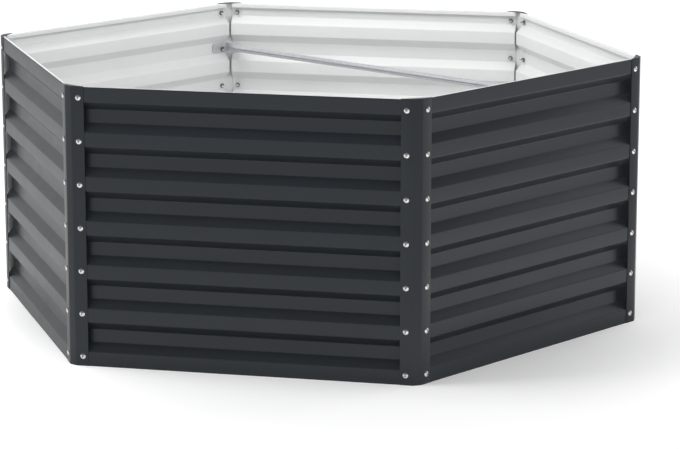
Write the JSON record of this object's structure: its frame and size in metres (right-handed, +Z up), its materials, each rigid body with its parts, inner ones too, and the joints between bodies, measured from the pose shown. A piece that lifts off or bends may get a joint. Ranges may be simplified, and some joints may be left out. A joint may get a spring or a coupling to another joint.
{
  "type": "raised garden bed",
  "caption": "Open hexagonal raised garden bed of corrugated coated steel walls bolted to bent corner posts, with tubular cross struts.",
  "frame": {"origin": "on the ground at the middle of the bed", "axes": "+Z up, the front wall faces -Y, +X to the right of someone facing the front wall"},
  "size_m": [1.49, 1.3034, 0.6],
  "materials": {
    "wall_coat": "semi-gloss anthracite coat outside, light grey coat inside",
    "post_coat": "semi-gloss anthracite coat outside, light grey coat inside",
    "screw_zinc": "bright zinc plate",
    "nut_zinc": "zinc plate",
    "strut_galvanised": "galvanised"
  },
  "bodies": {
    "root": {"wall_front": "wall_coat", "wall_front_right": "wall_coat", "wall_back_right": "wall_coat", "wall_back": "wall_coat", "wall_back_left": "wall_coat", "wall_front_left": "wall_coat", "corner_post_front_right": "post_coat", "corner_post_right": "post_coat", "corner_post_back_right": "post_coat", "corner_post_back_left": "post_coat", "corner_post_left": "post_coat", "corner_post_front_left": "post_coat", "screws_front_right": "screw_zinc", "screws_right": "screw_zinc", "screws_back_right": "screw_zinc", "screws_back_left": "screw_zinc", "screws_left": "screw_zinc", "screws_front_left": "screw_zinc", "nuts_front_right": "nut_zinc", "nuts_right": "nut_zinc", "nuts_back_right": "nut_zinc", "nuts_back_left": "nut_zinc", "nuts_left": "nut_zinc", "nuts_front_left": "nut_zinc", "strut_back": "strut_galvanised", "strut_front": "strut_galvanised"}
  },
  "joints": []
}
